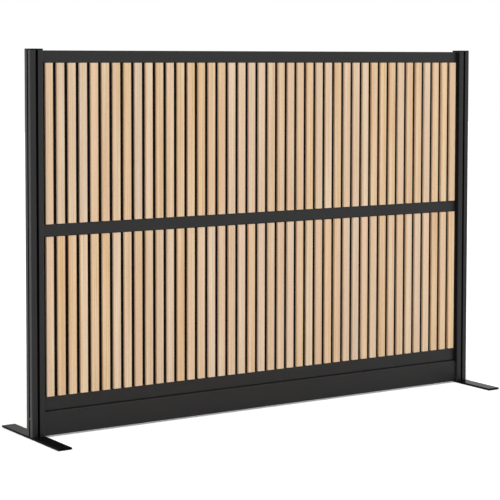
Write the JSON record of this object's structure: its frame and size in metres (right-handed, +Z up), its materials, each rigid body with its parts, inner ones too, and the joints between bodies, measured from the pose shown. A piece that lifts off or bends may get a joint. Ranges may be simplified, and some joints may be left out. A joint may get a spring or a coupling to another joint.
{
  "type": "slatted privacy wall",
  "caption": "Free-standing privacy wall: two T-slot posts on flat bar feet hold three rails, a plinth and a thin board faced on both sides with upright wood slats.",
  "frame": {"origin": "on the floor, under the middle of the wall", "axes": "+X runs along the wall to the right as seen from the front, +Y goes from front to back, +Z is up"},
  "size_m": [1.803, 0.408, 1.2425],
  "materials": {
    "black_profile": "fine matt black powder coat on extruded aluminium",
    "black_plastic": "moulded, fine grain",
    "black_steel": "satin black powder coat on flat steel bar",
    "black_rubber": "matt",
    "zinc_steel": "zinc plated",
    "plain_aluminium": "plain, sawn and drilled",
    "black_board": "black-dyed fibreboard, matt",
    "pale_wood": "pale straight-grained hardwood, clear matt oil"
  },
  "bodies": {
    "root": {"bottom_rail": "black_profile", "bottom_rail_connector_left": "zinc_steel", "bottom_rail_connector_right": "zinc_steel", "cap_left": "black_plastic", "cap_right": "black_plastic", "foot_bolt_left": "zinc_steel", "foot_bolt_right": "zinc_steel", "foot_keys_left": "zinc_steel", "foot_keys_right": "zinc_steel", "foot_left": "black_steel", "foot_pads_left": "black_rubber", "foot_pads_right": "black_rubber", "foot_right": "black_steel", "kick_block_left": "plain_aluminium", "kick_block_right": "plain_aluminium", "kick_bolt_left": "zinc_steel", "kick_bolt_right": "zinc_steel", "kick_key_left": "plain_aluminium", "kick_key_right": "plain_aluminium", "kickboard": "black_profile", "lower_back_slats": "pale_wood", "lower_board": "black_board", "lower_front_slats": "pale_wood", "lower_seal_left": "black_rubber", "lower_seal_right": "black_rubber", "mid_rail": "black_profile", "mid_rail_connector_left": "zinc_steel", "mid_rail_connector_right": "zinc_steel", "post_left": "black_profile", "post_right": "black_profile", "rail_screws_left": "zinc_steel", "rail_screws_right": "zinc_steel", "reveal_strip": "black_rubber", "top_rail": "black_profile", "top_rail_connector_left": "zinc_steel", "top_rail_connector_right": "zinc_steel", "upper_back_slats": "pale_wood", "upper_board": "black_board", "upper_front_slats": "pale_wood", "upper_seal_left": "black_rubber", "upper_seal_right": "black_rubber"}
  },
  "joints": []
}
